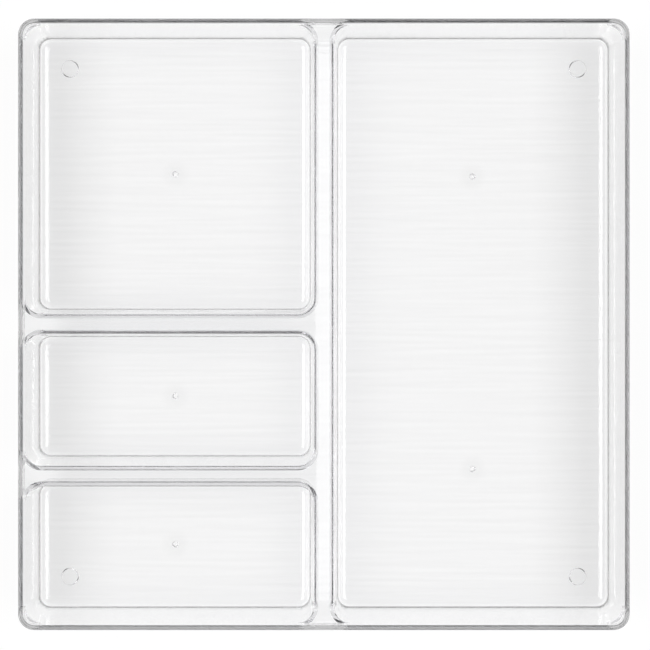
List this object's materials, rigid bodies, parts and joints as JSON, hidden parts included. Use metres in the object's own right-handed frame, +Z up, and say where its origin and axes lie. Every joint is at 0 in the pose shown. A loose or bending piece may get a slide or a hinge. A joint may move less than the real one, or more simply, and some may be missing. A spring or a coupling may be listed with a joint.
{
  "type": "drawer organizer",
  "caption": "Clear moulded square tray with open compartments of several sizes, to sort small things in a drawer.",
  "frame": {"origin": "centre of the tray's outline, on the plane of the feet's undersides", "axes": "+Z up out of the compartments, +Y towards the back edge beside the large left compartment, +X towards the compartment that runs the full length"},
  "size_m": [0.3048, 0.3048, 0.0508],
  "materials": {
    "clear_plastic": "clear, polished"
  },
  "bodies": {
    "root": {"organizer_tray": "clear_plastic"}
  },
  "joints": []
}
